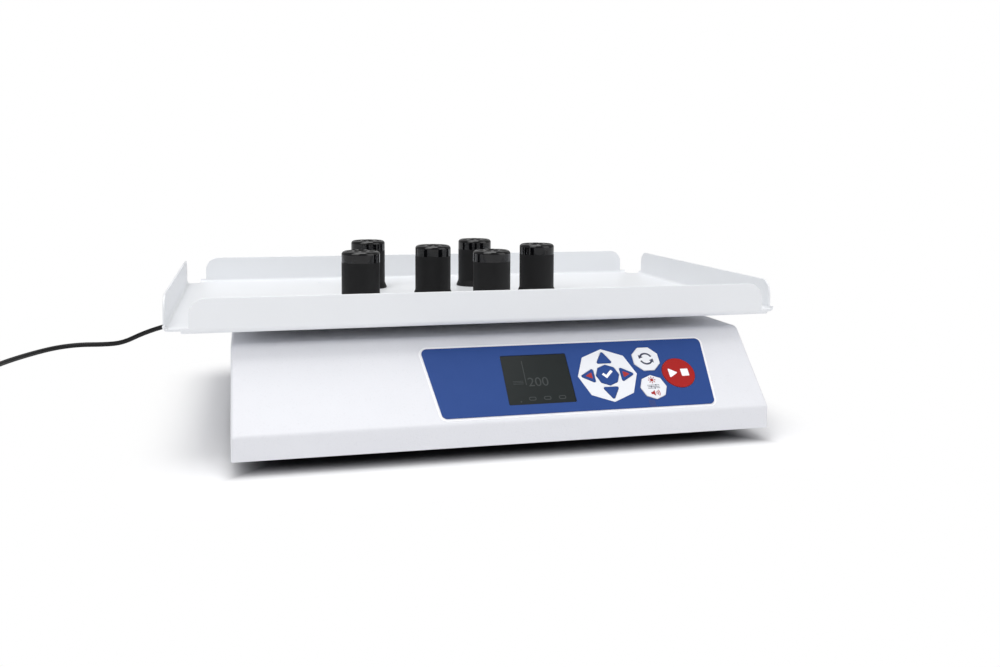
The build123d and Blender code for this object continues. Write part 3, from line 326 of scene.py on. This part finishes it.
def circuitBoard(name, look):  # green lacquer over copper tracks, with tinned pads
    made = Finish(name)
    field = made.cells(look["trackCell"], "DISTANCE_TO_EDGE").clamped(*look["trackEdge"])
    pads = made.cells(look["padCell"], "F1") < look["padReach"]
    lacquer = made.tint(field, look["track"], look["lacquer"])
    made.set({"Base Color": made.tint(pads, lacquer, look["tin"]), "Metallic": pads * look["tinMetal"]})
    made.set({"Roughness": made.grain(look["patch"]) * look["rubbed"] + look["roughness"]})
    made.bump(field * -1.0, look["depth"])
    return made


beltLook = {
    "centre": (0.005, 0.015),  # the driven pulley's axis
    "ribs": 160,
    "dark": ink(28, 28, 29),
    "worn": ink(44, 44, 45),
    "wear": 0.008,
    "patch": 0.004,
    "rubbed": 0.12,
    "roughness": 0.58,
    "depth": 0.0001,
}


def ribbedBelt(name, look):  # rubber with moulded cross ribs
    made = Finish(name, {"IOR": 1.5})
    x, y = (made.along(axis) - look["centre"][axis] for axis in (0, 1))
    ribs = made.math("SINE", made.math("ARCTAN2", y, x) * look["ribs"])
    made.set({"Base Color": made.tint(made.grain(look["wear"]), look["dark"], look["worn"])})
    made.set({"Roughness": made.grain(look["patch"]) * look["rubbed"] + look["roughness"]})
    made.bump(ribs, look["depth"])
    return made


partsLook = {
    "paleFrom": -0.022,  # x from which the connectors are pale
    "brightFrom": 0.0255,  # height from which the metal shows
    "package": ink(26, 27, 29),
    "mould": ink(40, 41, 44),
    "pale": ink(222, 220, 208),
    "bright": ink(196, 198, 202),
    "metal": 0.9,
    "cloud": 0.003,
    "patch": 0.002,
    "rubbed": 0.16,
    "roughness": 0.34,
    "pebble": 0.0006,
    "depth": 0.00003,
}


def boardParts(name, look):  # dark packages, pale connectors at the board's right, bright metal on top
    made = Finish(name, {"IOR": 1.5})
    right = made.along(0) > look["paleFrom"]
    high = made.along(2) > look["brightFrom"]
    packages = made.tint(made.grain(look["cloud"]), look["package"], look["mould"])
    pale = made.tint(right, packages, look["pale"])
    made.set({"Base Color": made.tint(high, pale, look["bright"]), "Metallic": high * look["metal"]})
    made.set({"Roughness": made.grain(look["patch"]) * look["rubbed"] + look["roughness"]})
    made.bump(made.grain(look["pebble"]), look["depth"])
    return made


boardGreen = circuitBoard("boardGreen", boardLook)
beltRubber = ribbedBelt("beltRubber", beltLook)
partsMix = boardParts("partsMix", partsLook)

dressing = {
    housingPaint: ("housing_cover",),
    panPaint: ("base_pan",),
    trayPaint: ("shaker_tray", "tray_screws"),
    motorPaint: ("motor_can",),
    footRubber: ("rubber_feet",),
    zinc: ("foot_screws", "cover_screws", "pillar_screws", "chassis_screws", "counterweight_screws",
           "front_board_fixings", "control_board_fixings", "jack_nut"),
    aluminium: ("chassis_plate", "bearing_cartridges", "driven_pulley", "motor_pulley",
                "platform_carrier"),
    steel: ("chassis_pillars", "main_crank", "idler_crank_1", "idler_crank_2", "idler_crank_3",
            "motor_shaft"),
    weightSteel: ("counterweight",),
    bearingSteel: ("cartridge_bearings", "carrier_bearings"),
    nickel: ("speed_magnet", "post_magnets"),
    beltRubber: ("drive_belt",),
    boardGreen: ("front_board", "control_board", "speed_sensor"),
    partsMix: ("control_board_parts", "key_switches"),
    sleeveBlack: ("post_sleeves", "post_feet"),
    capBlack: ("post_caps",),
    overlayBlue: ("keypad_overlay",),
    keyBlue: ("key_right", "key_up", "key_left", "key_down", "key_enter"),
    keyWhite: ("key_cycles", "key_settings", "arrow_pad"),
    keyRed: ("key_start_stop",),
    windowGlass: ("display_window",),
    displayGrey: ("display_module",),
    caseBlack: ("dc_jack", "switch_frame", "switch_rocker", "dc_plug", "plug_relief"),
    adapterShell: ("adapter_case",),
    cordBlack: ("power_cord", "cord_coil"),
    brass: ("adapter_pins",),
}
for finish, names in dressing.items():
    for name in names:
        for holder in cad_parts[name].material_slots:
            holder.material = finish.material
print("finishes on", sum(map(len, dressing.values())), "nodes")


# Outlines, as points in millimetres
def around(centre, radius, angle):  # a place on a circle, the angle in degrees
    turn = radians(angle)
    return (centre[0] + radius * cos(turn), centre[1] + radius * sin(turn))


def arc(centre, radius, first, last, steps):
    return [around(centre, radius, first + (last - first) * i / steps) for i in range(steps + 1)]


def ring(centre, radius, steps=40):
    return arc(centre, radius, 0, 360 * (steps - 1) / steps, steps - 1)


def band(centre, inner, outer, first, last, steps=16):
    return arc(centre, outer, first, last, steps) + arc(centre, inner, last, first, steps)


def bar(start, end, width):
    along = Vector(end) - Vector(start)
    side = Vector((-along.y, along.x)).normalized() * width / 2
    ends = ((start, 1), (start, -1), (end, -1), (end, 1))
    return [tuple(Vector(point) + side * sign) for point, sign in ends]


def box(low, high):
    return [low, (high[0], low[1]), high, (low[0], high[1])]


def moved(loop, shift):
    return [(x + shift[0], y + shift[1]) for x, y in loop]


def grown(corners, grow):  # moves each side of a convex outline outwards
    lines = []
    for first, second in zip(corners, corners[1:] + corners[:1]):
        along = (Vector(second) - Vector(first)).normalized()
        normal = Vector((along.y, -along.x))
        lines.append((Vector(first) + normal * grow, along))
    made = []
    for (start, along), (other, direction) in zip([lines[-1]] + lines[:-1], lines):
        gap = other - start
        across = along.x * direction.y - along.y * direction.x
        reach = (gap.x * direction.y - gap.y * direction.x) / across
        made.append(tuple(start + along * reach))
    return made


def rounded(corners, radius, steps=8):  # an arc of steps + 1 points at each corner
    loop = []
    for before, corner, after in zip(corners[-1:] + corners[:-1], corners, corners[1:] + corners[:1]):
        here = Vector(corner)
        first = (Vector(before) - here).normalized()
        second = (Vector(after) - here).normalized()
        half = first.angle(second) / 2
        middle = here + (first + second).normalized() * radius / sin(half)
        start = here + first * radius * cos(half) / sin(half) - middle
        end = here + second * radius * cos(half) / sin(half) - middle
        low, high = atan2(start.y, start.x), atan2(end.y, end.x)
        sweep = (high - low + pi) % (2 * pi) - pi
        for i in range(steps + 1):
            angle = low + sweep * i / steps
            loop.append((middle.x + radius * cos(angle), middle.y + radius * sin(angle)))
    return loop


def newPiece(name, data, finish, body):  # a finished shape that rides on one of the bodies
    data.materials.clear()
    data.materials.append(finish.material)
    made = linked(name, data)
    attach(made, body)
    return made


def meshOf(name, curve):  # the filled or thickened curve as a mesh
    draft = bpy.data.objects.new(name, curve)
    mesh = bpy.data.meshes.new_from_object(draft)
    bpy.data.objects.remove(draft)
    return mesh


# Power cord, from the plug behind the housing to the coil and on to the adapter
cordLine = {
    "thickness": 0.004,  # this, the length and the exit are in metres
    "length": 1.5,
    "exit": (-0.110, 0.1698, 0.027),
    "laid": ((-110, 169.8, 27), (-110, 200, 27), (-118, 226, 26.5), (-143, 245, 25.5),
             (-175, 251, 24), (-202, 250, 20.5), (-224, 258, 12.6), (-241, 264, 3.8),
             (-258, 270, 2.05), (-277, 274, 2.05), (-295, 263, 2.05), (-309, 237, 2.05),
             (-320, 210, 2.05), (-327, 184, 2.05), (-329.5, 160, 2.05), (-329, 144, 2.05)),
    "tail": ((-329, 150, 9.9), (-328.5, 132, 10.2), (-326, 114, 12.6), (-325, 103, 15), (-325, 90, 15)),
    "coilCentre": (-355, 148),
    "step": 15,  # degrees between the coil's points
    "start": -23.75,  # angles at which the coil begins and ends
    "end": 19.4,
    # Radius and height at the start of the coil and after each turn
    "places": ((25.05, 2.05), (21, 2.05), (16.95, 2.05), (16.95, 6.1), (16.95, 10.15),
               (21, 10.15), (21, 6.1), (25.05, 6.1), (25.05, 10.15)),
    "shift": 80,  # degrees that a turn takes to move to its next place
    "lag": 40,  # degrees by which each turn moves earlier than the one before
}


def smooth(share):  # an eased step from 0 to 1
    share = min(1, max(0, share))
    return share * share * (3 - 2 * share)


def coilPoints(line):
    turns = len(line["places"]) - 1
    travel = turns * 360 + line["start"] - line["end"]
    count = int(travel / line["step"])
    points = []
    for i in range(count + 1):
        gone = travel * i / count
        radius, height = line["places"][0]
        for turn, (first, second) in enumerate(zip(line["places"], line["places"][1:])):
            change = (360 - line["lag"]) * (turn + 1)
            share = smooth((gone - change) / line["shift"] + 0.5)
            radius += (second[0] - first[0]) * share
            height += (second[1] - first[1]) * share
        points.append((*around(line["coilCentre"], radius, line["start"] - gone), height))
    return points


def makeCord(line):
    points = list(line["laid"]) + coilPoints(line) + list(line["tail"])
    curve = bpy.data.curves.new("powerLead", "CURVE")
    curve.dimensions = "3D"
    curve.bevel_depth = line["thickness"] / 2
    curve.bevel_resolution = 5
    curve.resolution_u = 4
    spline = curve.splines.new("NURBS")
    spline.points.add(len(points) - 1)
    for point, place in zip(spline.points, points):
        point.co = tuple(value * mm for value in place) + (1,)
    spline.order_u = 3
    spline.use_endpoint_u = True
    return newPiece("powerLead", curve, cordBlack, "base")


tie = {
    "angle": 150,  # where it crosses the coil
    "width": 5,
    "low": (14.0, 0.05),  # distance from the coil's centre and height of its outline's corners
    "high": (27.8, 12.9),
    "thick": 0.7,
    "thickBelow": 0.02,
    "rounds": (2.5, 2.0),  # outside and inside
}


def makeTie(look, line):
    low, high, thick = Vector(look["low"]), Vector(look["high"]), look["thick"]
    outer = box(low, high)
    inner = box(low + Vector((thick, look["thickBelow"])), high - Vector((thick, thick)))
    angle = radians(look["angle"])
    out, side = Vector((cos(angle), sin(angle))), Vector((-sin(angle), cos(angle)))
    points = []
    for offset in (-look["width"] / 2, look["width"] / 2):
        for corners, radius in zip((outer, inner), look["rounds"]):
            for reach, z in rounded(corners, radius, 6):
                flat = Vector(line["coilCentre"]) + out * reach + side * offset
                points.append((flat.x * mm, flat.y * mm, z * mm))
    count = len(points) // 4  # outer and inner loop on one side, then on the other
    faces = []
    for i in range(count):
        j = (i + 1) % count
        faces += [(i, j, 2 * count + j, 2 * count + i),
                  (count + i, 3 * count + i, 3 * count + j, count + j),
                  (i, count + i, count + j, j),
                  (2 * count + i, 2 * count + j, 3 * count + j, 3 * count + i)]
    mesh = bpy.data.meshes.new("coilTie")
    mesh.from_pydata(points, [], faces)
    mesh.validate()
    mesh.shade_smooth()
    return newPiece("coilTie", mesh, caseBlack, "base")


powerLead = makeCord(cordLine)
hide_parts("power_cord", "cord_coil")
coilTie = makeTie(tie, cordLine)
print("cord laid")

# Printed marks on the slope of the housing: x from the drive axis, s up the slope, both in millimetres
panel = {
    "foot": (0.005, -0.135, 0.0205),  # where the slope starts, in metres
    "slant": 45,
    "corners": [(-40.7, 3.6), (117.2, 3.6), (121.5, 48.7), (-48.0, 48.7)],
    "round": 3.2,
    "margin": 1.5,
    "marginThick": 0.12,
    "overlayTop": 0.7,  # heights over the slope
    "keyTop": 1.0,
    "windowTop": 0.35,
    "enter": (57.6, 25.8),
    "cycles": (83.6, 35.5),
    "settings": (83.1, 16.3),
    "start": (101.0, 25.0),
    "mark": ((77.7, 3.8), (81.4, 8.0)),
}
slope = Matrix.Translation(panel["foot"]) @ Matrix.Rotation(radians(panel["slant"]), 4, "X")
inkThick = 0.05


# Flat marks. A loop inside a loop is a hole.
def printed(name, loops, lift, finish, body, thick=inkThick, place=slope):
    curve = bpy.data.curves.new(name, "CURVE")
    curve.dimensions = "2D"
    curve.fill_mode = "BOTH"
    curve.extrude = thick / 2 * mm
    for loop in loops:
        spline = curve.splines.new("POLY")
        spline.points.add(len(loop) - 1)
        for point, (x, y) in zip(spline.points, loop):
            point.co = (x * mm, y * mm, 0, 1)
        spline.use_cyclic_u = True
    mesh = meshOf(name, curve)
    mesh.transform(place @ Matrix.Translation((0, 0, (lift + thick / 2) * mm)))
    newPiece(name, mesh, finish, body)


def keyMark(name, loops, finish, key):
    printed(name, loops, panel["keyTop"], finish, key)


edge = rounded(panel["corners"], panel["round"])
margin = rounded(grown(panel["corners"], panel["margin"]), panel["round"] + panel["margin"])
printed("overlayMargin", [margin, edge], 0, inkWhite, "base", panel["marginThick"])
printed("overlayMark", [box(*panel["mark"])], panel["overlayTop"], inkNavy, "base")

arrow = {
    "middle": 10.4,  # from the enter key
    "tip": 3.0,
    "back": 1.0,
    "half": 2.1,
    "round": 0.3,
}


def arrowMark(side):  # 1 points right, -1 left
    x, s = panel["enter"]
    tip = x + side * (arrow["middle"] + arrow["tip"])
    back = x + side * (arrow["middle"] - arrow["back"])
    half = arrow["half"] * side
    return rounded([(tip, s), (back, s + half), (back, s - half)], arrow["round"], 3)


keyMark("rightMark", [arrowMark(1)], inkRed, "key_right")
keyMark("leftMark", [arrowMark(-1)], inkRed, "key_left")

tick = [(-3.4, 0.3), (-2.3, 1.4), (-0.9, 0.0), (2.4, 3.2), (3.5, 2.1), (-0.9, -2.3)]
keyMark("enterMark", [moved(tick, panel["enter"])], inkWhite, "key_enter")

cycle = {"inner": 3.0, "outer": 4.1, "starts": (20, 200), "sweep": 125, "headHalf": 1.6, "headReach": 2.3}


def cycleMark(centre):  # two arrows that chase each other round a circle
    loops = []
    for first in cycle["starts"]:
        last = first + cycle["sweep"]
        loops.append(band(centre, cycle["inner"], cycle["outer"], first, last))
        tip = radians(last)
        out = Vector((cos(tip), sin(tip)))
        ahead = Vector((-sin(tip), cos(tip))) * cycle["headReach"]
        middle = Vector(centre) + out * (cycle["inner"] + cycle["outer"]) / 2
        half = out * cycle["headHalf"]
        loops.append([tuple(middle + half), tuple(middle + ahead), tuple(middle - half)])
    return loops


keyMark("cyclesMark", cycleMark(panel["cycles"]), inkDark, "key_cycles")

# The settings key has a sun over three sliders over a speaker. up is each one's place on the key.
sun = {"up": 4.6, "disc": 1.0, "rays": 8, "from": 1.35, "to": 2.3, "width": 0.5}
sliders = {
    "up": 0.2,
    "rows": ((0.95, 1.6), (-0.05, -1.5), (-1.05, 0.6)),  # height of each line and place of its knob
    "half": 3.6,
    "gap": 0.65,  # from the knob's centre to the line
    "width": 0.3,
    "knob": 0.48,
}
speaker = {
    "up": -4.1,
    "cone": ((-2.6, -0.7), (-1.6, -0.7), (-0.2, -1.9), (-0.2, 1.9), (-1.6, 0.7), (-2.6, 0.7)),
    "source": (-0.4, 0),
    "waves": (1.0, 1.9, 2.8),
    "width": 0.45,
    "spread": 38,
}


def sunMark():
    loops = [ring((0, 0), sun["disc"], 24)]
    for i in range(sun["rays"]):
        turn = 2 * pi * i / sun["rays"]
        out = Vector((cos(turn), sin(turn)))
        loops.append(bar(out * sun["from"], out * sun["to"], sun["width"]))
    return loops


def sliderMark():
    half, gap, width = sliders["half"], sliders["gap"], sliders["width"]
    loops = []
    for y, knob in sliders["rows"]:
        loops.append(bar((-half, y), (knob - gap, y), width))
        loops.append(bar((knob + gap, y), (half, y), width))
        loops.append(ring((knob, y), sliders["knob"], 16))
    return loops


def speakerMark():
    width, spread = speaker["width"], speaker["spread"]
    waves = [band(speaker["source"], wave, wave + width, -spread, spread, 8) for wave in speaker["waves"]]
    return [speaker["cone"]] + waves


def settingsMark(name, look, loops, finish):
    x, s = panel["settings"]
    keyMark(name, [moved(loop, (x, s + look["up"])) for loop in loops], finish, "key_settings")


settingsMark("sunMark", sun, sunMark(), inkRed)
settingsMark("sliderMark", sliders, sliderMark(), inkDark)
settingsMark("speakerMark", speaker, speakerMark(), inkRed)

startKey = {
    "play": [(-6.0, -3.2), (-0.6, 0), (-6.0, 3.2)],
    "stop": box((1.6, -2.4), (6.2, 2.4)),
    "round": 0.4,
}
startMark = [rounded(moved(startKey[half], panel["start"]), startKey["round"], 3)
             for half in ("play", "stop")]
keyMark("startMark", startMark, inkWhite, "key_start_stop")

display = {
    "thick": 0.03,
    "digits": "200",
    "size": 8.2,
    "digitsAt": (9.9, 21.2),
    "digitsThick": 0.02,
    "lineAt": (8.9, 22.2),  # foot of the upright line beside the digits
    "lineTop": 38.2,
    "lineWidth": 0.45,
    "ticks": 3,
    "tickEnds": (-7.4, -1.4),  # from the line
    "tickUp": 0.8,  # from the line's foot to the first tick
    "tickStep": 0.9,
    "tickWidth": 0.3,
    "badges": (10.8, 19.4, 28.0),
    "badgeUp": 13.2,
    "badgeEdges": ((2.1, 1.2, 1.0), (1.6, 0.7, 0.6)),  # half width, half height, rounding; outer, inner
    "dotAt": (4.0, 11.6),
    "dot": 0.45,
}


def makeDigits(look):
    words = bpy.data.curves.new("displayDigits", "FONT")
    words.body = look["digits"]
    words.size = look["size"] * mm
    words.extrude = look["digitsThick"] * mm
    mesh = meshOf("displayDigits", words)
    x, s = look["digitsAt"]
    lift = panel["windowTop"] + look["digitsThick"]
    mesh.transform(slope @ Matrix.Translation((x * mm, s * mm, lift * mm)))
    newPiece("displayDigits", mesh, segmentGrey, "base")


def scaleMark(look):
    x, s = look["lineAt"]
    loops = [bar((x, s), (x, look["lineTop"]), look["lineWidth"])]
    first, last = look["tickEnds"]
    for i in range(look["ticks"]):
        up = s + look["tickUp"] + look["tickStep"] * i
        loops.append(bar((x + first, up), (x + last, up), look["tickWidth"]))
    return loops


def badgeMark(look):
    loops = []
    for x in look["badges"]:
        for halfWidth, halfHeight, radius in look["badgeEdges"]:
            low = (x - halfWidth, look["badgeUp"] - halfHeight)
            high = (x + halfWidth, look["badgeUp"] + halfHeight)
            loops.append(rounded(box(low, high), radius, 4))
    return loops + [ring(look["dotAt"], look["dot"], 12)]


makeDigits(display)
for name, loops in (("displayScale", scaleMark(display)), ("displayBadges", badgeMark(display))):
    printed(name, loops, panel["windowTop"], segmentGrey, "base", display["thick"])
print("panel marked")

# On and off symbols, on the two halves of the rocker in the rear wall
rocker = {
    "place": (-0.072, 0.130, 0.027),  # in metres
    "pivot": 2.0,  # depth of the pin behind the wall
    "tipped": 9.0,  # degrees, at rest
    "slant": 9.44,  # of each half to the rocker's own level
    "valley": 4.27,  # from the pin to where the halves meet
    "markAt": 4.6,  # from the rocker's middle
    "on": (1.6, 0.6),  # the bar's half length and width
    "off": (1.7, 1.15),  # the ring's two radii
    "thick": 0.04,
}
rear = Matrix(((-1, 0, 0, 0), (0, 0, 1, 0), (0, 1, 0, 0), (0, 0, 0, 1)))  # x along the wall, z out of it


def makeRockerMark(name, side, loops):
    tipped = Matrix.Rotation(radians(rocker["tipped"]), 4, "Y")
    slant = Matrix.Rotation(radians(-side * rocker["slant"]), 4, "Y")
    stand = Matrix.Translation(rocker["place"]) @ rear @ Matrix.Translation((0, 0, -rocker["pivot"] * mm))
    half = stand @ tipped @ Matrix.Translation((0, 0, rocker["valley"] * mm)) @ slant
    shifted = [moved(loop, (side * rocker["markAt"], 0)) for loop in loops]
    printed(name, shifted, 0, inkWhite, "rocker", rocker["thick"], half)


half, width = rocker["on"]
makeRockerMark("onMark", 1, [bar((0, -half), (0, half), width)])
makeRockerMark("offMark", -1, [ring((0, 0), radius) for radius in rocker["off"]])
print("rear wall finished")

# Stage and light
studio = {
    "world": 0.34,
    "aim": (0, 0, 0.05),
    "lamps": {
        "key": {"place": (-0.9, -0.9, 1.2), "size": 1.2, "power": 9},
        "fill": {"place": (1.3, -0.9, 0.8), "size": 1.4, "power": 7.5},
        "back": {"place": (0.2, 1.4, 1.3), "size": 1.6, "power": 3},
        "top": {"place": (-0.1, 0.0, 1.5), "size": 1.0, "power": 12},
    },
}


def makeLamp(name, look):
    data = bpy.data.lights.new(name, "AREA")
    data.size = look["size"]
    data.energy = look["power"]
    made = linked(name, data)
    made.location = look["place"]
    aim = Vector(studio["aim"]) - Vector(look["place"])
    made.rotation_euler = aim.to_track_quat("-Z", "Y").to_euler()


def makeWorld(strength):
    world = bpy.data.worlds.new("studio")
    bpy.context.scene.world = world
    sky = Nodes(world)
    plain = sky.tree.nodes["Background"]
    sky.feed(plain, {"Color": white, "Strength": strength})
    seen = sky.node("LightPath", output="Is Camera Ray")
    sky.seenWhite(plain, "Background", seen, "World Output")


stage = {  # all in metres
    "half": 6,
    "middle": (0.005, -0.0025),  # of the housing
    "under": (0.150, 0.1325),  # half of the housing's length and depth
    "fade": (0.004, 0.06),  # distances past the housing between which the floor turns white
    "paintedShadow": (-0.02, 0.007),  # painted shadow: the floor's colour darkens under the housing, from just past its edge inwards
    # dark is the colour of the painted shadow under the housing, pale the floor's own colour
    "dark": (0.1, 0.1, 0.11, 1),
    "pale": (0.93, 0.93, 0.94, 1),
    "roughness": 0.9,
}


def makeFloor(look):
    half = look["half"]
    mesh = bpy.data.meshes.new("floor")
    corners = [(x, y, 0) for x, y in box((-half, -half), (half, half))]
    mesh.from_pydata(corners, [], [(0, 1, 2, 3)])
    floor = Finish("floorWhite", {"Roughness": look["roughness"], "Specular IOR Level": 0.0})
    past, squares = [], []  # past each pair of the housing's sides, below 0 between them
    for axis in (0, 1):
        offset = floor.math("ABSOLUTE", floor.along(axis) - look["middle"][axis])
        past.append(offset - look["under"][axis])
        outside = floor.math("MAXIMUM", past[axis], 0.0)
        squares.append(outside * outside)
    # painted shadow: the floor's base colour turns dark under the housing and just past its edge
    paintedShade = floor.math("MAXIMUM", *past).clamped(*look["paintedShadow"])
    floor.set({"Base Color": floor.tint(paintedShade, look["dark"], look["pale"])})
    far = floor.math("SQRT", squares[0] + squares[1]).clamped(*look["fade"])
    seen = floor.node("LightPath", output="Is Camera Ray")
    floor.seenWhite(floor.shader, "Emission", far * seen, "Material Output")
    mesh.materials.append(floor.material)
    linked("floor", mesh)


makeWorld(studio["world"])
for name, look in studio["lamps"].items():
    makeLamp(name, look)
makeFloor(stage)
bpy.context.scene.view_settings.view_transform = "Standard"
print("stage lit")
